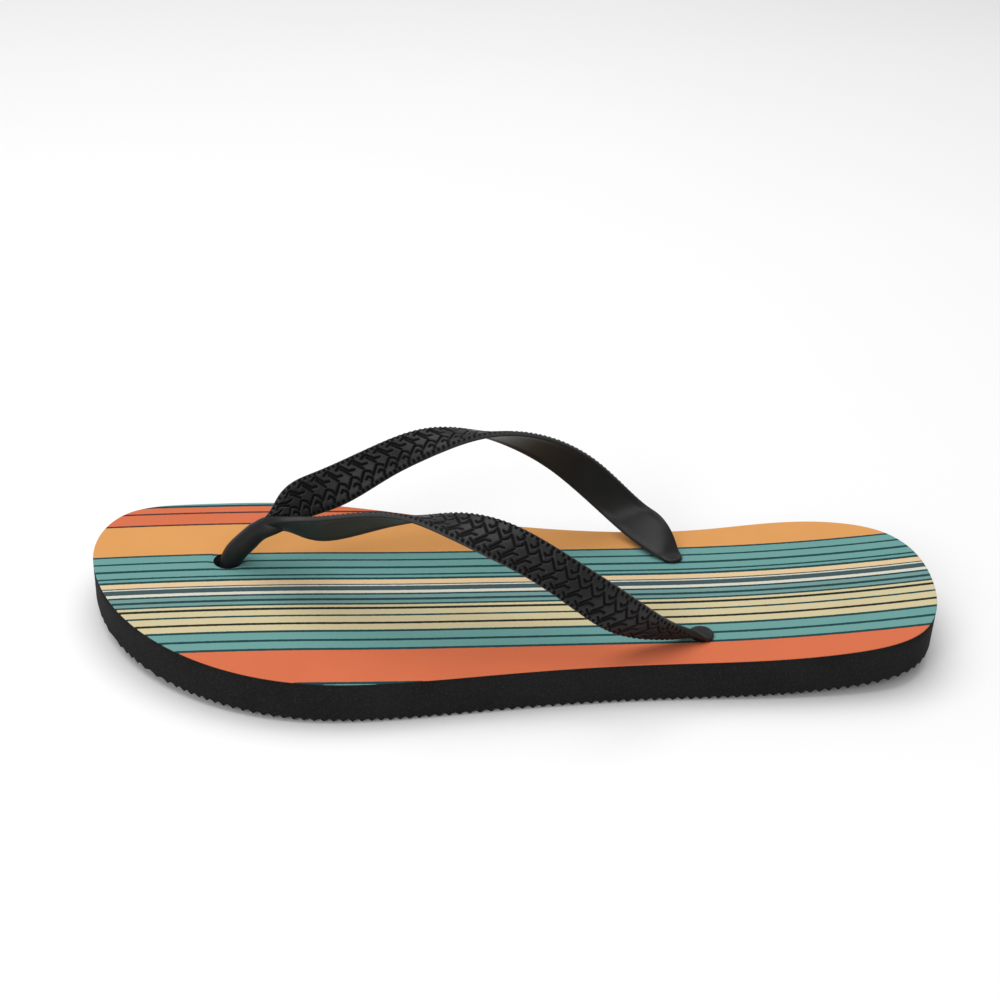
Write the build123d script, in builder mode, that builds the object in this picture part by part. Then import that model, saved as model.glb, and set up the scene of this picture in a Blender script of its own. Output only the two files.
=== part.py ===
from build123d import *
import os

# Left flip flop: foam rubber sole, printed fabric lining and moulded thong strap.
# The toe points to -X, the heel to +X and the inner side of the foot to +Y. The sole
# stands on Z = 0. All sizes are in millimetres.

os.makedirs("parts", exist_ok=True)

# ---- driving dimensions ------------------------------------------------------
SOLE_LENGTH = 270.0
SOLE_THICK = 14.0
LINING_THICK = 0.8

# The underside is flat between these two places and curls up past them.
FLAT_FRONT_X = -20.0
FLAT_REAR_X = 45.0
TOE_RISE = 4.0
HEEL_RISE = 5.5

# The sole bends about a line across the ball of the foot, at the lining's top.
FLEX_X = -45.0
FLEX_GAP = 0.3

# Strap: one moulding with a toe post, two arms with flat tips, and three plugs.
POST_DIA = 7.0
POST_PLACE = (-91.4, 12.0)
POST_LEAN = (0.3, 0.0, 1.0)
JUNCTION = (-78.0, 10.4, 30.5)
JUNCTION_DIA = 7.4
JUNCTION_LEAN = (1.0, -0.1, 0.9)
ARM_THICK = 2.2
TIP_DIA = 7.8
TIP_THICK = 1.4
TIP_ROUNDING = 0.5
NECK_DIA = 5.4
PLUG_DIA = 17.0
PLUG_THICK = 2.6

# Sole openings that take the strap, and the clearances round it.
TOE_HOLE = (-92.0, 12.0)
INNER_ANCHOR = (52.3, 25.8)
OUTER_ANCHOR = (58.0, -19.5)
TOE_HOLE_DIA = 9.2
ANCHOR_HOLE_DIA = 6.0
RECESS_DIA = 18.0
RECESS_DEPTH = 4.2
PLUG_LIFT = 0.1
STRAP_GAP = 0.1

# Plan outline of the sole, from the toe's tip round by the inner side.
OUTLINE = [
    (-135.0, 18.0), (-128.0, 36.7), (-108.0, 45.5), (-70.0, 51.3), (-30.0, 47.0),
    (20.0, 41.3), (65.0, 44.6), (103.0, 49.2), (124.0, 41.5), (135.0, 8.0),
    (125.5, -19.5), (102.0, -28.6), (50.0, -34.2), (0.0, -42.0), (-32.0, -48.5),
    (-62.0, -51.3), (-95.0, -42.5), (-122.0, -19.5), (-131.0, -3.0),
]

# Each arm's front and rear edge, from the toe post to its anchor. Both edges
# start low at the post; the band then turns until the rear edge is on top.
INNER_FRONT_EDGE = [
    (-79.5, 11.5, 32.5), (-75.0, 16.3, 38.7), (-65.5, 22.5, 43.0), (-43.0, 29.0, 52.0),
    (-22.0, 38.5, 52.5), (-0.5, 44.5, 43.0), (19.0, 46.0, 28.6), (36.0, 37.5, 16.8),
    (46.8, 25.1, 15.2),
]
INNER_REAR_EDGE = [
    (-75.0, 8.5, 28.5), (-68.5, 12.8, 30.6), (-57.5, 17.0, 33.5), (-37.5, 22.5, 44.5),
    (-16.5, 28.0, 53.5), (5.0, 38.5, 51.5), (27.0, 44.0, 39.5), (45.5, 40.5, 24.5),
    (53.6, 31.9, 18.2),
]
OUTER_FRONT_EDGE = [
    (-79.5, 9.5, 32.5), (-72.0, 5.0, 36.2), (-63.0, -4.0, 42.0), (-41.5, -13.5, 50.0),
    (-21.5, -25.0, 50.5), (0.5, -31.0, 42.0), (20.0, -33.5, 29.5), (38.0, -26.5, 17.6),
    (50.5, -21.4, 15.2),
]
OUTER_REAR_EDGE = [
    (-75.0, 12.0, 28.5), (-66.5, 7.5, 29.0), (-53.5, 0.5, 32.9), (-36.5, -7.0, 43.0),
    (-17.5, -12.5, 50.5), (6.0, -24.0, 50.5), (27.0, -30.0, 40.0), (45.0, -28.0, 26.0),
    (55.0, -24.0, 18.4),
]

# ---- sizes that follow -------------------------------------------------------
FOAM_THICK = SOLE_THICK - LINING_THICK
TOE_X = -SOLE_LENGTH / 2
HEEL_X = SOLE_LENGTH / 2
OVERRUN = 1.0
CUT_REACH = 3 * SOLE_THICK
SIDE_REACH = SOLE_LENGTH / 3


def underside_rise(x):
    """Height of the curled underside above the ground at a place along the sole."""
    if x < FLAT_FRONT_X:
        return TOE_RISE * ((FLAT_FRONT_X - x) / (FLAT_FRONT_X - TOE_X)) ** 2
    if x > FLAT_REAR_X:
        return HEEL_RISE * ((x - FLAT_REAR_X) / (HEEL_X - FLAT_REAR_X)) ** 2
    return 0.0


def layer(bottom, thick):
    """One full-length layer of the sole: a strip curled at both ends, cut to the outline."""
    with BuildPart() as slab:
        with BuildSketch(Plane.XZ):
            with BuildLine():
                for level in (bottom, bottom + thick):
                    front = (FLAT_FRONT_X, level)
                    rear = (FLAT_REAR_X, level)
                    TangentArc(front, (TOE_X - OVERRUN, level + TOE_RISE), tangent=(-1, 0))
                    Line(front, rear)
                    TangentArc(rear, (HEEL_X + OVERRUN, level + HEEL_RISE), tangent=(1, 0))
                for x, rise in ((TOE_X - OVERRUN, TOE_RISE), (HEEL_X + OVERRUN, HEEL_RISE)):
                    Line((x, bottom + rise), (x, bottom + thick + rise))
            make_face()
        extrude(amount=SIDE_REACH, both=True)
        with BuildSketch(Plane.XY):
            with BuildLine():
                Spline(*OUTLINE, periodic=True)
            make_face()
        extrude(amount=CUT_REACH, mode=Mode.INTERSECT)
    return slab.part


def bore(place, dia):
    """The space of a strap hole and of the plug's recess in the underside."""
    with BuildPart() as space:
        with BuildSketch(Plane.XY.offset(-OVERRUN)):
            with Locations(place):
                Circle(dia / 2)
        extrude(amount=CUT_REACH)
        with BuildSketch(Plane.XY.offset(-OVERRUN)):
            with Locations(place):
                Circle(RECESS_DIA / 2)
        extrude(amount=OVERRUN + underside_rise(place[0]) + RECESS_DEPTH)
    return space.part


FRONT_CUT = Plane.YZ.offset(FLEX_X - FLEX_GAP / 2)
REAR_CUT = Plane.YZ.offset(FLEX_X + FLEX_GAP / 2)
ANCHORS = (INNER_ANCHOR, OUTER_ANCHOR)
foam = layer(0, FOAM_THICK)
fabric = layer(FOAM_THICK, LINING_THICK)
strap_keep_out = layer(0, SOLE_THICK + STRAP_GAP)
toe_bore = bore(TOE_HOLE, TOE_HOLE_DIA)
anchor_bores = [bore(place, ANCHOR_HOLE_DIA) for place in ANCHORS]

# ---- sole --------------------------------------------------------------------
with BuildPart() as sole_front:
    add(foam)
    split(bisect_by=FRONT_CUT, keep=Keep.BOTTOM)
    add(toe_bore, mode=Mode.SUBTRACT)

with BuildPart() as sole_rear:
    add(foam)
    split(bisect_by=REAR_CUT, keep=Keep.TOP)
    add(anchor_bores, mode=Mode.SUBTRACT)

# ---- lining ------------------------------------------------------------------
with BuildPart() as lining_front:
    add(fabric)
    split(bisect_by=FRONT_CUT, keep=Keep.BOTTOM)
    add(toe_bore, mode=Mode.SUBTRACT)

with BuildPart() as lining_rear:
    add(fabric)
    split(bisect_by=REAR_CUT, keep=Keep.TOP)
    add(anchor_bores, mode=Mode.SUBTRACT)


# ---- strap -------------------------------------------------------------------
def lining_top(place):
    """Height of the lining's top at a place in plan."""
    return underside_rise(place[0]) + SOLE_THICK


def tip_centre(anchor):
    """Centre of the flat round tip of an arm, just over the lining at its anchor."""
    return Vector(*anchor, lining_top(anchor) + STRAP_GAP + TIP_THICK / 2)


def square_to(direction, other):
    """The part of a direction that is at right angles to another."""
    return direction - other * (direction.dot(other) / other.dot(other))


def arm_sections(front_edge, rear_edge, anchor):
    """Plane and width of each cross-section of an arm, ending in its tip."""
    fronts = [Vector(*p) for p in front_edge]
    rears = [Vector(*p) for p in rear_edge]
    middles = [(f + r) / 2 for f, r in zip(fronts, rears)] + [tip_centre(anchor)]
    sections = []
    for i, (f, r) in enumerate(zip(fronts, rears)):
        across = f - r
        along = square_to(middles[i + 1] - middles[max(i - 1, 0)], across)
        sections.append((Plane(origin=middles[i], x_dir=across, z_dir=along), across.length))
    along = middles[-1] - middles[-2]
    across = square_to(sections[-1][0].x_dir, along)
    sections.append((Plane(origin=middles[-1], x_dir=across, z_dir=along), TIP_DIA))
    return sections


def arm(front_edge, rear_edge, anchor):
    """One flat arm of the strap, lofted through its sections, clear of the lining."""
    with BuildPart() as band:
        for plane, width in arm_sections(front_edge, rear_edge, anchor):
            with BuildSketch(plane):
                SlotOverall(width, ARM_THICK)
        loft()
        add(strap_keep_out, mode=Mode.SUBTRACT)
    return band.part


def tip(anchor):
    """The flat round tip of an arm."""
    with BuildPart() as pad:
        with Locations(tip_centre(anchor)):
            Cylinder(TIP_DIA / 2, TIP_THICK)
        fillet(pad.edges().filter_by(GeomType.CIRCLE), TIP_ROUNDING)
    return pad.part


def plug(hole, stem, dia, stem_top):
    """The disc that sits in a recess under the sole, and its stem up to a height."""
    disc_top = underside_rise(hole[0]) + RECESS_DEPTH - PLUG_LIFT
    disc_bottom = disc_top - PLUG_THICK
    with BuildPart() as fastening:
        with BuildSketch(Plane.XY.offset(disc_bottom)):
            with Locations(hole):
                Circle(PLUG_DIA / 2)
        extrude(amount=PLUG_THICK)
        with BuildSketch(Plane.XY.offset(disc_bottom)):
            with Locations(stem):
                Circle(dia / 2)
        extrude(amount=stem_top - disc_bottom)
    return fastening.part


inner_arm = arm(INNER_FRONT_EDGE, INNER_REAR_EDGE, INNER_ANCHOR)
outer_arm = arm(OUTER_FRONT_EDGE, OUTER_REAR_EDGE, OUTER_ANCHOR)
tips = [tip(place) for place in ANCHORS]
toe_plug = plug(TOE_HOLE, POST_PLACE, POST_DIA, lining_top(TOE_HOLE))
anchor_plugs = [plug(place, place, NECK_DIA, tip_centre(place).Z) for place in ANCHORS]
post_foot = Vector(*POST_PLACE, lining_top(TOE_HOLE))

with BuildPart() as strap:
    with BuildLine():
        post = Spline(post_foot, Vector(*JUNCTION), tangents=[POST_LEAN, JUNCTION_LEAN])
    with BuildSketch(Plane(origin=post_foot, z_dir=POST_LEAN)):
        Circle(POST_DIA / 2)
    sweep(path=post)
    with Locations(Vector(*JUNCTION)):
        Sphere(JUNCTION_DIA / 2)
    with Locations(post_foot):
        Sphere(POST_DIA / 2)
    add([inner_arm, outer_arm, toe_plug])
    add(tips)
    add(anchor_plugs)

# ---- files -------------------------------------------------------------------
pieces = {
    "sole_front": sole_front,
    "sole_rear": sole_rear,
    "lining_front": lining_front,
    "lining_rear": lining_rear,
    "strap": strap,
}
for name, piece in pieces.items():
    piece.part.label = name
    export_step(piece.part, f"parts/{name}.step")
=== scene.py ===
import math

import bmesh
import bpy
import numpy as np
from mathutils import Matrix, Vector


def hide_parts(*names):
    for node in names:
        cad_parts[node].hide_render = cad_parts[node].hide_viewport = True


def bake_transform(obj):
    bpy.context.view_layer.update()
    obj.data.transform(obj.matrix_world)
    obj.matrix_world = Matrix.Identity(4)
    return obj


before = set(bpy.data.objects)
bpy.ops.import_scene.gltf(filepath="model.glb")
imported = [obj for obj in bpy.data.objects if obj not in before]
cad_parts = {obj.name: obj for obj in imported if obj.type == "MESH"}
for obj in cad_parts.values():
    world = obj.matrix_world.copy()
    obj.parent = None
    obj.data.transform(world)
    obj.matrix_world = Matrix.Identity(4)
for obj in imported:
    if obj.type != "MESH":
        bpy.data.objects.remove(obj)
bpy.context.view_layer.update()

# A left flip flop: ribbed foam rubber sole, striped fabric lining, moulded thong strap.
# The toe points to -X, the heel to +X, the inner side of the foot to +Y. Lists of
# points below are in millimetres and become metres as soon as they are used.
MM = 0.001

# ---- sole and lining ---------------------------------------------------------------
SOLE_TOP = 14.0
FOAM_TOP = 13.2
PRINT_DEPTH_TOP = 13.75
FLAT_FRONT_X = -20.0
FLAT_REAR_X = 45.0
TOE_RISE = 4.0
HEEL_RISE = 5.5
HALF_LENGTH = 135.0
OUTLINE = [
    (-135.0, 18.0), (-128.0, 36.7), (-108.0, 45.5), (-70.0, 51.3), (-30.0, 47.0),
    (20.0, 41.3), (65.0, 44.6), (103.0, 49.2), (124.0, 41.5), (135.0, 8.0),
    (125.5, -19.5), (102.0, -28.6), (50.0, -34.2), (0.0, -42.0), (-32.0, -48.5),
    (-62.0, -51.3), (-95.0, -42.5), (-122.0, -19.5), (-131.0, -3.0),
]
STATIONS = 900
RIB_PITCH = 2.9
RIB_DEPTH = 1.2
RIB_WAVE = 1.1
RIB_WAVE_PITCH = 17.0
RIB_REACH = 2.0
HOLE_BOTTOM = -2.0
RECESS_BOTTOM = -3.0
HOLE_REACH = 20.0
LINING_CUT = (5.0, 30.0)
DIMPLE_DEPTH = 0.35

# ---- strap -------------------------------------------------------------------------
TOE_HOLE = (-92.0, 12.0)
INNER_ANCHOR = (52.3, 25.8)
OUTER_ANCHOR = (58.0, -19.5)
TOE_HOLE_RADIUS = 4.6
ANCHOR_HOLE_RADIUS = 3.0
HOLES = [
    (TOE_HOLE, TOE_HOLE_RADIUS),
    (INNER_ANCHOR, ANCHOR_HOLE_RADIUS),
    (OUTER_ANCHOR, ANCHOR_HOLE_RADIUS),
]
NECK_RADIUS = 2.7
TIP_RADIUS = 3.9
TIP_LIFT = 0.8
RECESS_RADIUS = 9.0
RECESS_DEPTH = 4.2
PLUG_RADIUS = 8.5
PLUG_THICK = 2.6
PLUG_ROUNDING = 0.8
PLUG_LIFT = 0.1
STRAP_GAP = 0.1
TOE_ROOT_RADIUS = 4.0
INNER_FRONT_EDGE = [
    (-79.5, 11.5, 32.5), (-75.0, 16.3, 38.7), (-65.5, 22.5, 43.0), (-43.0, 29.0, 52.0),
    (-22.0, 38.5, 52.5), (-0.5, 44.5, 43.0), (19.0, 46.0, 28.6), (36.0, 37.5, 16.8),
    (46.8, 25.1, 15.2),
]
INNER_REAR_EDGE = [
    (-75.0, 8.5, 28.5), (-68.5, 12.8, 30.6), (-57.5, 17.0, 33.5), (-37.5, 22.5, 44.5),
    (-16.5, 28.0, 53.5), (5.0, 38.5, 51.5), (27.0, 44.0, 39.5), (45.5, 40.5, 24.5),
    (53.6, 31.9, 18.2),
]
OUTER_FRONT_EDGE = [
    (-79.5, 9.5, 32.5), (-72.0, 5.0, 36.2), (-63.0, -4.0, 42.0), (-41.5, -13.5, 50.0),
    (-21.5, -25.0, 50.5), (0.5, -31.0, 42.0), (20.0, -33.5, 29.5), (38.0, -26.5, 17.6),
    (50.5, -21.4, 15.2),
]
OUTER_REAR_EDGE = [
    (-75.0, 12.0, 28.5), (-66.5, 7.5, 29.0), (-53.5, 0.5, 32.9), (-36.5, -7.0, 43.0),
    (-17.5, -12.5, 50.5), (6.0, -24.0, 50.5), (27.0, -30.0, 40.0), (45.0, -28.0, 26.0),
    (55.0, -24.0, 18.4),
]
BAND_HALF_THICK = 1.1
BAND_SQUARENESS = 5.0
TIP_SQUARENESS = 4.0
POST_SQUARENESS = 2.0

# Half thickness and squareness of an arm's first stations, as it leaves the post.
JOINING = [(2.3, 2.6), (1.6, 3.6), (1.2, 4.6)]

# The post, as (centre, radius), from the toe plug up to where the arms part. The outer
# arm's half of it is a little slimmer, so that the two halves' surfaces don't coincide.
OUTER_SLIMMER = 0.12
POST = [
    ((-91.4, 12.0, 4.0), 3.5), ((-91.4, 12.0, 12.0), 3.5), ((-90.8, 12.0, 15.9), 3.5),
    ((-88.5, 11.9, 19.9), 3.6), ((-84.9, 11.7, 24.0), 3.5), ((-81.4, 11.3, 27.6), 3.3),
]
POST_STRAIGHT_TOP = 12.0
POST_TURN = 13.0

# Columns of points round an arm's section, and the distance from row to row.
OUTER_FACE = 52
ROUND_EDGE = 3
INNER_FACE = 14
FINE_STEP = 0.26
COARSE_STEP = 0.6

# The moulded pattern: a border of notches, and two columns of bent grooves that repeat
# along the arm. Their points are (along the arm, away from its middle).
NOTCH_STEP = 1.72
BORDER = 1.45
PATTERN_END = 9.0
PATTERN_FADE = 7.0
GROOVE_DEPTH = 0.55
HOLLOW_DEPTH = 0.4
NOTCH_BITE = 0.3
MOTIF_STEP = 4.5
MOTIF_REACH = 4.8
FRONT_MOTIF = [
    [(0.0, 3.8), (1.6, 4.7), (3.75, 2.0), (5.4, 1.75)],
    [(1.55, 3.5), (3.65, 0.6)],
]
REAR_MOTIF = [
    [(1.0, 2.8), (3.6, 0.1), (5.2, 1.3), (5.3, 1.9)],
    [(3.0, 2.9), (3.7, 2.4), (4.8, 3.6), (4.3, 4.6)],
]

# ---- stripes of the printed lining, from the inner side of the foot to the outer -----
AMBER = (229, 162, 92)
CORAL = (222, 115, 75)
TEAL = (110, 163, 158)
GREY_TEAL = (118, 156, 152)
CREAM = (217, 203, 160)
PEACH = (234, 203, 158)
SLATE = (62, 86, 90)
WHITE = (222, 219, 203)
TEAL_LINE = (17, 66, 70)
BROWN_LINE = (72, 45, 46)
BLACK_LINE = (26, 32, 24)
STRIPE_START = 70.0
LINE = 1.1
STRIPES = [
    (TEAL, 11.6), (TEAL_LINE, LINE), (CORAL, 3.4), (BROWN_LINE, LINE), (CORAL, 6.5),
    (BROWN_LINE, LINE), (AMBER, 18.1), (TEAL_LINE, LINE), (TEAL, 3.3), (TEAL_LINE, LINE),
    (TEAL, 3.4), (TEAL_LINE, LINE), (TEAL, 3.1), (TEAL_LINE, LINE), (TEAL, 1.3),
    (TEAL_LINE, LINE), (PEACH, 2.7), (SLATE, 0.4), (WHITE, 0.7), (SLATE, 2.6),
    (WHITE, 1.5), (TEAL_LINE, LINE), (GREY_TEAL, 1.9), (TEAL_LINE, LINE), (GREY_TEAL, 1.6),
    (TEAL_LINE, LINE), (CREAM, 1.2), (BLACK_LINE, LINE), (CREAM, 2.9), (TEAL_LINE, LINE),
    (CREAM, 3.2), (BLACK_LINE, LINE), (CREAM, 3.0), (TEAL_LINE, LINE), (TEAL, 3.8),
    (TEAL_LINE, LINE), (TEAL, 3.6), (TEAL_LINE, LINE), (CORAL, 16.2), (TEAL_LINE, LINE),
    (TEAL, 6.0),
]
STRIPE_SLOPE = 0.1
STRIPE_BEND_X = -55.0
STRIPE_BEND = 0.0011


# ---- curves ------------------------------------------------------------------------
def spline(points, closed=False, samples=4000):
    """A smooth cubic curve through points, as rows; its first three columns set its pace."""
    points = np.array(points, float)
    if closed:
        points = np.vstack([points, points[:1]])
    steps = np.linalg.norm(np.diff(points[:, :3], axis=0), axis=1)
    knots = np.concatenate([[0.0], np.cumsum(steps)])
    count = len(points)
    matrix = np.zeros((count, count))
    right = np.zeros_like(points)
    slopes = np.diff(points, axis=0) / steps[:, None]
    for i in range(1, count - 1):
        matrix[i, i - 1:i + 2] = steps[i - 1], 2 * (steps[i - 1] + steps[i]), steps[i]
        right[i] = 6 * (slopes[i] - slopes[i - 1])
    if closed:
        matrix[0, 0], matrix[0, -1] = 1, -1
        matrix[-1, 0], matrix[-1, 1] = 2 * steps[0], steps[0]
        matrix[-1, -2], matrix[-1, -1] = steps[-1], 2 * steps[-1]
        right[-1] = 6 * (slopes[0] - slopes[-1])
    else:
        matrix[0, 0] = matrix[-1, -1] = 1
    bends = np.linalg.solve(matrix, right)
    at = np.linspace(0, knots[-1], samples)
    i = np.clip(np.searchsorted(knots, at, side="right") - 1, 0, count - 2)
    span = steps[i][:, None]
    b = (at - knots[i])[:, None] / span
    a = 1 - b
    curved = ((a**3 - a) * bends[i] + (b**3 - b) * bends[i + 1]) * span**2 / 6
    return a * points[i] + b * points[i + 1] + curved


def smooth_step(value, low, high):
    """0 below low, 1 above high and smooth between, for arrays."""
    share = np.clip((value - low) / (high - low), 0, 1)
    return share * share * (3 - 2 * share)


def rise(x):
    """Height of the curled underside above the ground, in millimetres."""
    toe = np.clip((FLAT_FRONT_X - x) / (FLAT_FRONT_X + HALF_LENGTH), 0, None)
    heel = np.clip((x - FLAT_REAR_X) / (HALF_LENGTH - FLAT_REAR_X), 0, None)
    return TOE_RISE * toe**2 + HEEL_RISE * heel**2


# ---- meshes ------------------------------------------------------------------------
def make_object(name, points, faces, sharp_angle):
    """An object from points in millimetres, smooth but for edges sharper than an angle."""
    mesh = bpy.data.meshes.new(name)
    mesh.from_pydata((np.asarray(points) * MM).tolist(), [], [list(f) for f in faces])
    tidy = bmesh.new()
    tidy.from_mesh(mesh)
    bmesh.ops.recalc_face_normals(tidy, faces=tidy.faces)
    tidy.to_mesh(mesh)
    tidy.free()
    mesh.shade_smooth()
    mesh.set_sharp_from_angle(angle=math.radians(sharp_angle))
    made = bpy.data.objects.new(name, mesh)
    bpy.context.scene.collection.objects.link(made)
    return made


def lathe(profile, centre, around=72):
    """Points and faces of a closed turned shape; profile rows are (radius, height)."""
    turn = np.linspace(0, 2 * math.pi, around, endpoint=False)
    points = []
    for radius, height in profile:
        ring = [centre[0] + radius * np.cos(turn), centre[1] + radius * np.sin(turn)]
        points.append(np.column_stack([*ring, np.full(around, height)]))
    faces = []
    for r in range(len(profile) - 1):
        for j in range(around):
            k = (j + 1) % around
            low = r * around
            faces.append((low + j, low + k, low + around + k, low + around + j))
    faces.append(tuple(range(around)))
    last = (len(profile) - 1) * around
    faces.append(tuple(range(last, last + around)))
    return np.vstack(points), faces


def outline_loop():
    """The outline as one loop with the inner and outer side at the same stations."""
    loop = spline(OUTLINE, closed=True, samples=6001)[:-1]
    loop = np.roll(loop, -int(np.argmin(loop[:, 0])), axis=0)
    heel = int(np.argmax(loop[:, 0]))
    inner, outer = loop[:heel + 1], np.vstack([loop[heel:], loop[:1]])[::-1]
    turn = np.linspace(0, math.pi, STATIONS + 1)
    x = inner[0, 0] + (inner[-1, 0] - inner[0, 0]) * (1 - np.cos(turn)) / 2
    inner_y = np.interp(x, inner[:, 0], inner[:, 1])
    outer_y = np.interp(x, outer[:, 0], outer[:, 1])
    near = np.column_stack([x, inner_y])
    far = np.column_stack([x, outer_y])[1:-1][::-1]
    return np.vstack([near, far])


LOOP = outline_loop()


def inset_ring(inset):
    """The outline moved inwards by a distance."""
    along = np.roll(LOOP, -1, axis=0) - np.roll(LOOP, 1, axis=0)
    along /= np.linalg.norm(along, axis=1)[:, None]
    outward = np.column_stack([-along[:, 1], along[:, 0]])
    return LOOP - outward * inset


def slab(rings, top_columns, bottom_columns, lift):
    """A closed layer of the sole. Rings are (inset, height) from the top's edge round to
    the bottom's, and lift(x, y, height) gives each point's real height."""
    size = len(LOOP)
    plan = [inset_ring(inset) for inset, _ in rings]
    heights = [np.full(size, height) for _, height in rings]
    faces = []
    for r in range(len(rings) - 1):
        for j in range(size):
            k = (j + 1) % size
            low = r * size
            faces.append((low + j, low + k, low + size + k, low + size + j))
    count = size * len(rings)
    for ring, columns in ((0, top_columns), (len(rings) - 1, bottom_columns)):
        inner = plan[ring][1:STATIONS]
        outer = plan[ring][:STATIONS:-1]
        share = np.arange(1, columns)[None, :, None] / columns
        middle = inner[:, None] * (1 - share) + outer[:, None] * share
        plan.append(middle.reshape(-1, 2))
        heights.append(np.full((STATIONS - 1) * (columns - 1), rings[ring][1]))
        index = np.zeros((STATIONS + 1, columns + 1), int)
        index[:, 0] = ring * size + np.arange(STATIONS + 1)
        index[1:STATIONS, -1] = ring * size + np.arange(size - 1, STATIONS, -1)
        index[1:STATIONS, 1:-1] = count + np.arange(len(plan[-1])).reshape(STATIONS - 1, -1)
        index[0, :] = ring * size
        index[STATIONS, :] = ring * size + STATIONS
        count += len(plan[-1])
        for i in range(STATIONS):
            for c in range(columns):
                corners = (index[i, c], index[i + 1, c], index[i + 1, c + 1], index[i, c + 1])
                faces.append(tuple(dict.fromkeys(int(v) for v in corners)))
    flat = np.vstack(plan)
    return np.column_stack([flat, lift(flat[:, 0], flat[:, 1], np.concatenate(heights))]), faces


def cut_holes(piece, holes):
    """Cuts round holes, given as (centre, radius, lowest, highest), out of a piece."""
    points, faces = [], []
    for centre, radius, low, high in holes:
        more, sides = lathe([(radius, low), (radius, high)], centre, around=96)
        offset = sum(len(p) for p in points)
        points.append(more)
        faces += [tuple(v + offset for v in side) for side in sides]
    cutter = make_object(piece.name + "_cutter", np.vstack(points), faces, 30)
    cut = piece.modifiers.new("holes", "BOOLEAN")
    cut.object = cutter
    cut.operation = "DIFFERENCE"
    cut.solver = "EXACT"
    cut.use_self = True
    bpy.context.view_layer.update()
    whole = piece.evaluated_get(bpy.context.evaluated_depsgraph_get())
    mesh = bpy.data.meshes.new_from_object(whole)
    piece.modifiers.clear()
    piece.data = mesh
    bpy.data.objects.remove(cutter)


def remember_rest(piece):
    """Keeps each point's place at rest, so that patterns stay put when the piece bends."""
    mesh = piece.data
    places = np.zeros(len(mesh.vertices) * 3, np.float32)
    mesh.vertices.foreach_get("co", places)
    rest = mesh.attributes.new("rest_place", "FLOAT_VECTOR", "POINT")
    rest.data.foreach_set("vector", places)
    return places.reshape(-1, 3).astype(float)


# ---- materials ---------------------------------------------------------------------
def linear(colour):
    """An sRGB colour, 0 to 255, as a linear RGBA."""
    share = [c / 255 for c in colour]
    return tuple(c / 12.92 if c <= 0.04045 else ((c + 0.055) / 1.055) ** 2.4 for c in share) + (1,)


class Nodes:
    """A material's node tree with short calls for what these materials need."""

    def __init__(self, name):
        self.material = bpy.data.materials.new(name)
        self.material.use_nodes = True
        self.tree = self.material.node_tree
        self.shader = self.tree.nodes["Principled BSDF"]

    def add(self, kind, **values):
        node = self.tree.nodes.new(kind)
        for name, value in values.items():
            setattr(node, name, value)
        return node

    def link(self, output, socket):
        self.tree.links.new(output, socket)

    def math(self, operation, first, second=0.0):
        node = self.add("ShaderNodeMath", operation=operation)
        for socket, value in zip(node.inputs, (first, second)):
            if isinstance(value, bpy.types.NodeSocket):
                self.link(value, socket)
            else:
                socket.default_value = value
        return node.outputs[0]

    def mix(self, share, first, second, blend="MIX"):
        node = self.add("ShaderNodeMix", data_type="RGBA", blend_type=blend)
        values = {0: share, 6: first, 7: second}
        for socket, value in ((node.inputs[i], value) for i, value in values.items()):
            if isinstance(value, bpy.types.NodeSocket):
                self.link(value, socket)
            else:
                socket.default_value = value
        return node.outputs[2]

    def noise(self, place, scale, detail=3.0):
        node = self.add("ShaderNodeTexNoise")
        self.link(place, node.inputs["Vector"])
        node.inputs["Scale"].default_value = scale
        node.inputs["Detail"].default_value = detail
        return node.outputs["Fac"]

    def remap(self, value, low, high, to_low, to_high):
        node = self.add("ShaderNodeMapRange")
        self.link(value, node.inputs["Value"])
        for socket, number in zip(node.inputs[1:5], (low, high, to_low, to_high)):
            socket.default_value = number
        return node.outputs["Result"]

    def bump(self, height, depth, strength=1.0):
        node = self.add("ShaderNodeBump")
        self.link(height, node.inputs["Height"])
        node.inputs["Distance"].default_value = depth
        node.inputs["Strength"].default_value = strength
        self.link(node.outputs["Normal"], self.shader.inputs["Normal"])


def attribute(nodes, name):
    return nodes.add("ShaderNodeAttribute", attribute_name=name)


def foam_material():
    """Black closed-cell foam rubber with pale specks."""
    nodes = Nodes("foam_rubber")
    place = attribute(nodes, "rest_place").outputs["Vector"]
    cells = nodes.add("ShaderNodeTexVoronoi")
    nodes.link(place, cells.inputs["Vector"])
    cells.inputs["Scale"].default_value = 1500
    speck = nodes.remap(cells.outputs["Distance"], 0.15, 0.5, 1, 0)
    patchy = nodes.noise(place, 60)
    grain = nodes.noise(place, 2200, 2)
    shade = nodes.math("MULTIPLY", speck, nodes.remap(grain, 0.4, 0.65, 0, 1))
    dark, pale = (0.009, 0.009, 0.009, 1), (0.013, 0.013, 0.013, 1)
    base = nodes.mix(nodes.remap(patchy, 0.3, 0.7, 0, 1), dark, pale)
    nodes.link(nodes.mix(shade, base, (0.03, 0.03, 0.03, 1)), nodes.shader.inputs["Base Color"])
    nodes.link(nodes.remap(grain, 0.3, 0.7, 0.78, 0.95), nodes.shader.inputs["Roughness"])
    nodes.shader.inputs["Specular IOR Level"].default_value = 0.12
    height = nodes.math("ADD", nodes.math("MULTIPLY", cells.outputs["Distance"], 0.6), grain)
    nodes.bump(height, 0.12 * MM, 0.7)
    return nodes.material


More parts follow.
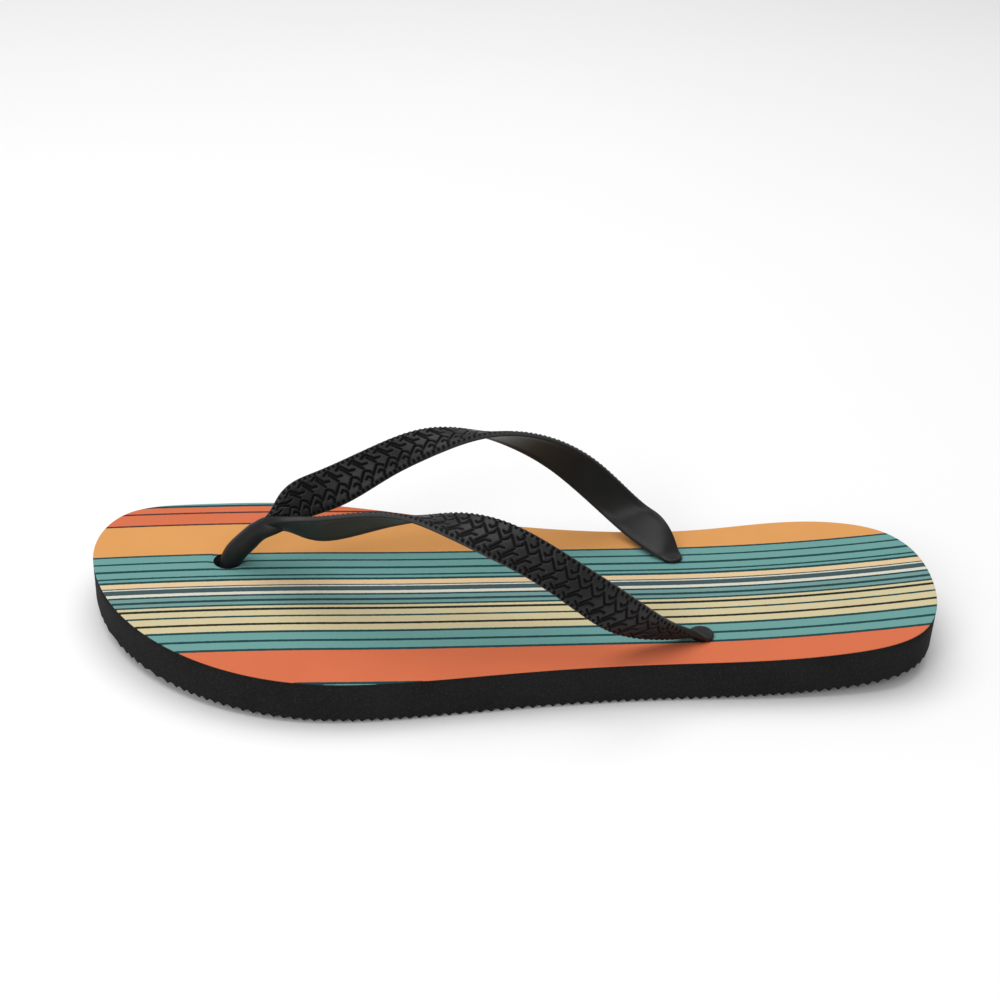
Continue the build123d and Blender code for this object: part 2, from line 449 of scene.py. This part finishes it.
def striped_colour(nodes, across):
    """The stripes' colour at a distance across the lining, as chained colour ramps."""
    colour = None
    ramp_most = 30
    start = STRIPE_START
    for first in range(0, len(STRIPES), ramp_most):
        part = STRIPES[first:first + ramp_most]
        length = sum(width for _, width in part)
        share = nodes.remap(across, start * MM, (start - length) * MM, 0, 1)
        ramp = nodes.add("ShaderNodeValToRGB")
        ramp.color_ramp.interpolation = "CONSTANT"
        nodes.link(share, ramp.inputs["Fac"])
        stops = ramp.color_ramp.elements
        at = 0.0
        for i, (tint, width) in enumerate(part):
            stop = stops[i] if i < 2 else stops.new(at / length)
            stop.position = at / length
            stop.color = linear(tint)
            at += width
        if colour is None:
            colour = ramp.outputs["Color"]
        else:
            past = nodes.math("LESS_THAN", across, start * MM)
            colour = nodes.mix(past, colour, ramp.outputs["Color"])
        start -= length
    return colour


def lining_material():
    """Finely woven polyester with the printed stripes."""
    nodes = Nodes("printed_fabric")
    place = nodes.add("ShaderNodeUVMap", uv_map="print").outputs["UV"]
    parts = nodes.add("ShaderNodeSeparateXYZ")
    nodes.link(place, parts.inputs[0])
    along, across = parts.outputs["X"], parts.outputs["Y"]
    frayed = nodes.remap(nodes.noise(place, 900, 2), 0.3, 0.7, -0.06 * MM, 0.06 * MM)
    colour = striped_colour(nodes, nodes.math("ADD", across, frayed))
    thread = 2 * math.pi / (0.55 * MM)
    warp = nodes.math("SINE", nodes.math("MULTIPLY", along, thread))
    weft = nodes.math("SINE", nodes.math("MULTIPLY", across, thread))
    weave = nodes.math("MULTIPLY", warp, weft)
    fibre = nodes.noise(place, 2600, 2)
    cloudy = nodes.noise(place, 45)
    woven = nodes.remap(weave, -1, 1, 0.87, 0.94)
    tone = nodes.math("ADD", woven, nodes.remap(fibre, 0.3, 0.7, -0.04, 0.04))
    tone = nodes.math("ADD", tone, nodes.remap(cloudy, 0.3, 0.7, -0.02, 0.02))
    grey = nodes.add("ShaderNodeCombineColor")
    for socket in grey.inputs:
        nodes.link(tone, socket)
    colour = nodes.mix(1.0, colour, grey.outputs[0], blend="MULTIPLY")
    nodes.link(colour, nodes.shader.inputs["Base Color"])
    nodes.link(nodes.remap(fibre, 0.3, 0.7, 0.8, 0.95), nodes.shader.inputs["Roughness"])
    nodes.shader.inputs["Specular IOR Level"].default_value = 0.2
    nodes.shader.inputs["Sheen Weight"].default_value = 0.06
    nodes.bump(nodes.math("ADD", weave, nodes.math("MULTIPLY", fibre, 1.5)), 0.02 * MM, 0.8)
    return nodes.material


def strap_material():
    """Moulded black PVC: satin on the smooth faces, duller in the pattern's grooves. Painted
    shade darkens the grooves' colour, and a painted highlight lightens the arms' edges.
    """
    nodes = Nodes("moulded_pvc")
    place = attribute(nodes, "rest_place").outputs["Vector"]
    worked = attribute(nodes, "patterned").outputs["Fac"]
    groove = attribute(nodes, "groove").outputs["Fac"]
    rim_and_painted_highlight = attribute(nodes, "rim_and_painted_highlight").outputs["Fac"]
    fine = nodes.noise(place, 1800, 3)
    broad = nodes.noise(place, 90, 2)
    dark, pale = (0.009, 0.009, 0.0092, 1), (0.013, 0.013, 0.0134, 1)
    base = nodes.mix(nodes.remap(broad, 0.3, 0.7, 0, 1), dark, pale)
    # Painted highlight: the colour is lightened along the arms' edges, standing in for light
    # catching them.
    base = nodes.mix(rim_and_painted_highlight, base, (0.04, 0.04, 0.041, 1))
    # Painted shade: the grooves' colour is darkened to near black, standing in for the shade
    # inside them.
    base = nodes.mix(nodes.remap(groove, 0.1, 0.7, 0, 1), base, (0.001, 0.001, 0.001, 1))
    nodes.link(base, nodes.shader.inputs["Base Color"])
    satin = nodes.remap(worked, 0, 1, 0.4, 0.36)
    rough = nodes.math("ADD", satin, nodes.remap(fine, 0.3, 0.7, -0.05, 0.06))
    rough = nodes.math("ADD", rough, nodes.remap(groove, 0, 0.8, 0, 0.5))
    nodes.link(rough, nodes.shader.inputs["Roughness"])
    nodes.shader.inputs["Specular IOR Level"].default_value = 0.26
    nodes.bump(nodes.math("ADD", fine, nodes.math("MULTIPLY", broad, 0.3)), 0.03 * MM, 0.6)
    return nodes.material


def floor_material():
    nodes = Nodes("pale_floor")
    geometry = nodes.add("ShaderNodeNewGeometry").outputs["Position"]
    tone = nodes.remap(nodes.noise(geometry, 3), 0.3, 0.7, 0.95, 0.97)
    grey = nodes.add("ShaderNodeCombineColor")
    for socket in grey.inputs:
        nodes.link(tone, socket)
    nodes.link(grey.outputs[0], nodes.shader.inputs["Base Color"])
    nodes.shader.inputs["Roughness"].default_value = 0.9
    nodes.shader.inputs["Specular IOR Level"].default_value = 0.1
    return nodes.material


# ---- sole --------------------------------------------------------------------------
def sole_height(x, y, height):
    """Real height of a point of the foam: the curl, and wavy ribs on the underside."""
    phase = x + RIB_WAVE * np.sin(2 * math.pi * y / RIB_WAVE_PITCH)
    groove = 0.5 - 0.5 * np.cos(2 * math.pi * phase / RIB_PITCH)
    share = np.clip(1 - height / RIB_REACH, 0, 1)
    return rise(x) + height + RIB_DEPTH * groove**0.7 * share


def make_sole():
    rings = [
        (0.6, 13.18), (0.15, 13.18), (0.0, 13.0), (0.0, 10.5), (0.0, 8.0), (0.0, 5.5),
        (0.0, 3.5), (0.0, 2.0), (0.0, 1.2), (0.1, 0.6), (0.35, 0.2), (0.8, 0.0),
    ]
    points, faces = slab(rings, 4, 50, sole_height)
    sole = make_object("sole", points, faces, 50)
    holes = []
    for centre, radius in HOLES:
        floor = float(rise(np.array(centre[0])))
        holes.append((centre, radius, HOLE_BOTTOM, floor + HOLE_REACH))
        holes.append((centre, RECESS_RADIUS, RECESS_BOTTOM, floor + RECESS_DEPTH))
    cut_holes(sole, holes)
    remember_rest(sole)
    sole.data.materials.clear()
    sole.data.materials.append(foam_material())
    return sole


# ---- lining ------------------------------------------------------------------------
def lining_height(x, y, height):
    """Real height of a point of the lining, drawn down a little round the toe hole."""
    away = np.hypot(x - TOE_HOLE[0], y - TOE_HOLE[1])
    dimple = DIMPLE_DEPTH * smooth_step(away, TOE_HOLE_RADIUS + 2.5, TOE_HOLE_RADIUS - 0.5)
    return rise(x) + height - dimple * (height > FOAM_TOP + 0.1)


def stripe_place(x, y):
    """Distance across the stripes, which slant and bend a little towards the toe."""
    bend = STRIPE_BEND * np.clip(STRIPE_BEND_X - x, 0, None) ** 2
    return y - STRIPE_SLOPE * x + bend


def make_lining():
    rings = [
        (0.6, 14.0), (0.2, 14.0), (0.06, 13.94), (0.0, 13.8), (0.0, 13.5), (0.05, 13.2),
        (0.6, 13.2),
    ]
    points, faces = slab(rings, 72, 4, lining_height)
    lining = make_object("lining", points, faces, 50)
    cut_holes(lining, [(centre, radius, *LINING_CUT) for centre, radius in HOLES])
    places = remember_rest(lining) / MM
    mesh = lining.data
    corners = np.zeros(len(mesh.loops), np.int64)
    mesh.loops.foreach_get("vertex_index", corners)
    across = stripe_place(places[:, 0], places[:, 1])
    print_map = np.column_stack([places[:, 0], across])[corners] * MM
    layer = mesh.uv_layers.new(name="print")
    layer.data.foreach_set("uv", print_map.astype(np.float32).ravel())
    mesh.materials.clear()
    mesh.materials.append(lining_material())
    mesh.materials.append(foam_material())
    for face in mesh.polygons:
        x, y, z = face.center / MM
        if z - float(rise(np.array(x))) < PRINT_DEPTH_TOP and abs(face.normal.z) < 0.7:
            face.material_index = 1
    return lining


def lining_area():
    """Flat area of the lining, in square metres."""
    x, y = LOOP[:, 0], LOOP[:, 1]
    area = abs(np.sum(x * np.roll(y, -1) - y * np.roll(x, -1))) / 2
    for _, radius in HOLES:
        area -= math.pi * radius**2
    return area * MM * MM


# ---- strap -------------------------------------------------------------------------

def arm_stations(front_edge, rear_edge, anchor, side):
    """Rows of centre, direction to the front edge, half width, half thickness and
    squareness, from the toe plug up the post, along the arm and down to its tip."""
    slim = 0.0 if side > 0 else OUTER_SLIMMER
    rows = []
    for place, radius in POST:
        lifted = max(0.0, place[2] - POST_STRAIGHT_TOP) / POST_TURN
        lean = np.array([-1.0, 0.6 * side, lifted])
        lean /= np.linalg.norm(lean)
        rows.append([*place, *lean, radius - slim, radius - slim, POST_SQUARENESS])
    for i, (f, r) in enumerate(zip(np.array(front_edge), np.array(rear_edge))):
        half = np.linalg.norm(f - r) / 2
        plain = (BAND_HALF_THICK, BAND_SQUARENESS)
        shape = JOINING[i] if i < len(JOINING) else plain
        rows.append([*((f + r) / 2), *((f - r) / 2 / half), half, *shape])
    last = np.array(rows[-1])
    sole_top = SOLE_TOP + float(rise(np.array(anchor[0])))
    back = last[:2] - np.array(anchor)
    back /= np.linalg.norm(back)
    flat = np.array([-back[1], back[0], 0])
    flat *= math.copysign(1.0, np.dot(flat, last[3:6]))
    for reach in (0.0, -TIP_RADIUS):
        centre = [anchor[0] + back[0] * reach, anchor[1] + back[1] * reach, sole_top + TIP_LIFT]
        rows.append([*centre, *flat, TIP_RADIUS, TIP_LIFT - STRAP_GAP, TIP_SQUARENESS])
    return rows


def groove_share(u, away, motif):
    """1 in the grooves of a motif that repeats along an arm, 0 on the lands."""
    u = np.mod(u, MOTIF_STEP)
    nearest = np.full(u.shape, 1e9)
    for shift in (-MOTIF_STEP, 0.0, MOTIF_STEP):
        for line in motif:
            for (u0, w0), (u1, w1) in zip(line, line[1:]):
                du, dw = u1 - u0, w1 - w0
                share = ((u - u0 - shift) * du + (away - w0) * dw) / (du * du + dw * dw)
                share = np.clip(share, 0, 1)
                gap = np.hypot(u - u0 - shift - share * du, away - w0 - share * dw)
                nearest = np.minimum(nearest, gap)
    return smooth_step(nearest, 0.5, 0.2)


def notch_share(u, inward):
    """1 in the notches along an arm's border, at a distance inward from its edge."""
    notch = smooth_step(0.5 - 0.5 * np.cos(2 * math.pi * u / NOTCH_STEP), 0.3, 0.75)
    open_side = 0.4 + 0.6 * smooth_step(inward, 0.2, 0.5)
    return notch * open_side * smooth_step(inward, BORDER, BORDER - 0.25)


def pattern_share(u, v, half):
    """How deep the moulded pattern is, 0 to 1, at a distance along and across an arm."""
    column = np.maximum(half - BORDER, 0.5)
    away = np.abs(v) / column * MOTIF_REACH
    front = groove_share(u, away, FRONT_MOTIF)
    rear = groove_share(u, away, REAR_MOTIF)
    inside = smooth_step(half - np.abs(v), BORDER - 0.1, BORDER + 0.1)
    return np.where(v > 0, front, rear) * inside + notch_share(u, half - np.abs(v))


def row_places(start, stop, end):
    """Distances of the rows along an arm: fine between start and stop, round at the end."""
    coarse = np.arange(0, start, COARSE_STEP)
    fine = np.arange(start, stop, FINE_STEP)
    plain = np.arange(stop, end - TIP_RADIUS, COARSE_STEP)
    turn = np.linspace(0, math.pi / 2, 16)
    return np.concatenate([coarse, fine, plain, end - TIP_RADIUS * (1 - np.sin(turn))])


def make_arm(front_edge, rear_edge, anchor, side):
    """Points, faces and material shares (pattern; groove, also a painted shade; edge, also a
    painted highlight) of one arm with its half of the post."""
    dense = spline(arm_stations(front_edge, rear_edge, anchor, side), samples=6000)
    steps = np.linalg.norm(np.diff(dense[:, :3], axis=0), axis=1)
    travelled = np.concatenate([[0], np.cumsum(steps)])
    start_point = (np.array(front_edge[0]) + rear_edge[0]) / 2
    junction = travelled[np.argmin(np.linalg.norm(dense[:, :3] - start_point, axis=1))]
    at = row_places(junction - 1, travelled[-1] - PATTERN_END - 3, travelled[-1])
    rows = len(at)
    path = np.column_stack([np.interp(at, travelled, column) for column in dense.T])
    centre, across = path[:, :3], path[:, 3:6]
    half, thick, square = path[:, 6], path[:, 7], path[:, 8]
    across /= np.linalg.norm(across, axis=1)[:, None]
    heading = np.gradient(dense[:, :3], axis=0)
    along = np.column_stack([np.interp(at, travelled, column) for column in heading.T])
    along /= np.linalg.norm(along, axis=1)[:, None]
    normal = side * np.cross(along, across)
    normal /= np.linalg.norm(normal, axis=1)[:, None]
    slant = np.sum(across * along, axis=1)[:, None]

    face_reach = 0.95
    face = np.linspace(-face_reach, face_reach, OUTER_FACE)
    back = face_reach * np.sin(np.linspace(math.pi / 2, -math.pi / 2, INNER_FACE))
    p = square[:, None]
    front_n = (1 - np.abs(face)[None, :] ** p) ** (1 / p)
    back_n = -((1 - np.abs(back)[None, :] ** p) ** (1 / p))
    edge_n = np.linspace(1, -1, ROUND_EDGE + 2)[1:-1][None, :] * front_n[:, :1]
    edge_v = (1 - np.abs(edge_n) ** p) ** (1 / p)
    ones = np.ones((rows, 1))
    v = np.hstack([ones * face, edge_v, ones * back, -edge_v])
    n = np.hstack([front_n, edge_n, back_n, -edge_n])
    left = at[-1] - at
    tip = np.sqrt(1 - np.clip(1 - left / TIP_RADIUS, 0, 0.999) ** 2)
    thin = np.sqrt(1 - np.clip(1 - left / 0.8, 0, 0.999) ** 2)
    v_place = v * (half * tip)[:, None]
    n_place = n * (thick * thin)[:, None]

    u = (at - junction)[:, None]
    fade = smooth_step(left, PATTERN_END, PATTERN_END + PATTERN_FADE)[:, None]
    fade = fade * smooth_step(u, 0.0, 2.5)
    shown = fade * smooth_step(n, 0.0, 0.5)
    groove = pattern_share(u + v_place * slant, v_place, half[:, None]) * shown
    hollow = smooth_step(-n, 0.5, 0.9) * smooth_step(half[:, None] - np.abs(v_place), 0.7, 1.6)
    hollow *= smooth_step(half, 4.2, 6.0)[:, None]
    rim_and_painted_highlight = smooth_step(np.abs(v), 0.94, 0.99) * np.ones_like(u)
    v_place = v_place - np.sign(v) * NOTCH_BITE * rim_and_painted_highlight * groove
    n_place = n_place - GROOVE_DEPTH * groove + HOLLOW_DEPTH * hollow

    points = centre[:, None] + across[:, None] * v_place[..., None]
    points = points + normal[:, None] * n_place[..., None]
    lowest = SOLE_TOP + rise(points[..., 0]) + STRAP_GAP
    past_post = points[..., 0] > front_edge[0][0]
    points[..., 2] = np.where(past_post, np.maximum(points[..., 2], lowest), points[..., 2])
    wide = v.shape[1]
    faces = []
    for i in range(rows - 1):
        for j in range(wide):
            k = (j + 1) % wide
            faces.append((i * wide + j, i * wide + k, (i + 1) * wide + k, (i + 1) * wide + j))
    faces.append(tuple(range(wide)))
    faces.append(tuple(range((rows - 1) * wide, rows * wide)))
    # Along the wider stretches of the arms the edge mask is also stored as a painted highlight,
    # which lightens the strap's colour there.
    rim_and_painted_highlight = rim_and_painted_highlight * smooth_step(half, 3.6, 5.0)[:, None]
    shares = np.column_stack([shown.ravel(), groove.ravel(), rim_and_painted_highlight.ravel()])
    return points.reshape(-1, 3), faces, shares


def plug(centre, root):
    """Points and faces of the disc in its recess under the sole, with a rounded rim. Its
    root, of a given radius, goes up into the hole."""
    top = float(rise(np.array(centre[0]))) + RECESS_DEPTH - PLUG_LIFT
    low = top - PLUG_THICK
    flank = PLUG_RADIUS - PLUG_ROUNDING
    profile = [(0.5, low), (5.0, low), (flank, low + 0.15)]
    for turn in np.linspace(-75, 90, 6):
        angle = math.radians(turn)
        out = flank + PLUG_ROUNDING * math.cos(angle)
        middle = low + PLUG_ROUNDING if turn < 0 else top - PLUG_ROUNDING
        profile.append((out, middle + PLUG_ROUNDING * math.sin(angle)))
    profile += [(root, top), (root - 0.2, top + 1)]
    return lathe(profile, centre)


def make_strap():
    shells = [
        make_arm(INNER_FRONT_EDGE, INNER_REAR_EDGE, INNER_ANCHOR, 1),
        make_arm(OUTER_FRONT_EDGE, OUTER_REAR_EDGE, OUTER_ANCHOR, -1),
    ]
    plain = [plug(TOE_HOLE, TOE_ROOT_RADIUS)]
    for centre in (INNER_ANCHOR, OUTER_ANCHOR):
        plain.append(plug(centre, NECK_RADIUS))
        top = SOLE_TOP + float(rise(np.array(centre[0])))
        neck = [(NECK_RADIUS, 3.0), (NECK_RADIUS, top - 1), (NECK_RADIUS - 0.2, top + 0.9)]
        plain.append(lathe(neck, centre))
    shells += [(places, sides, np.zeros((len(places), 3))) for places, sides in plain]
    points, faces, shares = [], [], []
    for places, sides, share in shells:
        offset = sum(len(p) for p in points)
        points.append(places)
        faces += [tuple(v + offset for v in side) for side in sides]
        shares.append(share)
    strap = make_object("thong_strap", np.vstack(points), faces, 60)
    remember_rest(strap)
    shares = np.vstack(shares).astype(np.float32)
    for column, name in enumerate(("patterned", "groove", "rim_and_painted_highlight")):
        stored = strap.data.attributes.new(name, "FLOAT", "POINT")
        stored.data.foreach_set("value", np.ascontiguousarray(shares[:, column]))
    strap.data.materials.append(strap_material())
    return strap


# ---- the three pieces, in place of the imported parts, which are hidden --------------
sole = make_sole()
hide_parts("sole_front", "sole_rear")
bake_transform(sole)

lining = make_lining()
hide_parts("lining_front", "lining_rear")
lining_area()
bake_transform(lining)

strap = make_strap()
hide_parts("strap")
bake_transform(strap)


# ---- floor, light and camera, in metres and watts ------------------------------------
FLOOR_REACH = 4.0
BACKDROP_STRENGTH = 0.42
KEY_POWER = 13
FRONT_POWER = 3
CAMERA_PLACE = (-0.0124, -0.4390, 0.3021)
CAMERA_AIM = (0.0139, 0.8659, -0.5)
CAMERA_ROLL = 2.56
CAMERA_LENS = 59.47


def make_floor():
    reach = FLOOR_REACH
    corners = [(-reach, -reach, 0), (reach, -reach, 0), (reach, reach, 0), (-reach, reach, 0)]
    mesh = bpy.data.meshes.new("floor")
    mesh.from_pydata(corners, [], [(0, 1, 2, 3)])
    floor = bpy.data.objects.new("floor", mesh)
    bpy.context.scene.collection.objects.link(floor)
    mesh.materials.append(floor_material())


def softbox(name, place, aim, size, power):
    light = bpy.data.lights.new(name, "AREA")
    light.shape = "RECTANGLE"
    light.size, light.size_y = size
    light.energy = power
    lamp = bpy.data.objects.new(name, light)
    bpy.context.scene.collection.objects.link(lamp)
    lamp.location = place
    lamp.rotation_euler = (Vector(aim) - Vector(place)).to_track_quat("-Z", "Y").to_euler()


def make_studio():
    world = bpy.data.worlds.new("studio")
    world.use_nodes = True
    backdrop = world.node_tree.nodes["Background"]
    backdrop.inputs["Color"].default_value = (1, 1, 1, 1)
    backdrop.inputs["Strength"].default_value = BACKDROP_STRENGTH
    bpy.context.scene.world = world
    softbox("key", (-0.2, 0.25, 1.25), (0, 0, 0), (1.6, 1.2), KEY_POWER)
    softbox("front", (-0.45, -0.85, 0.6), (0, 0, 0.02), (0.5, 0.4), FRONT_POWER)
    bpy.context.scene.view_settings.view_transform = "Standard"


def make_camera():
    camera = bpy.data.objects.new("camera", bpy.data.cameras.new("camera"))
    bpy.context.scene.collection.objects.link(camera)
    camera.location = CAMERA_PLACE
    aim = Vector(CAMERA_AIM).to_track_quat("-Z", "Y").to_matrix()
    roll = Matrix.Rotation(math.radians(CAMERA_ROLL), 3, "Z")
    camera.rotation_euler = (aim @ roll).to_euler()
    camera.data.sensor_width = 36.0
    camera.data.lens = CAMERA_LENS
    camera.data.clip_start = 0.01
    bpy.context.scene.camera = camera


make_floor()
make_studio()
make_camera()
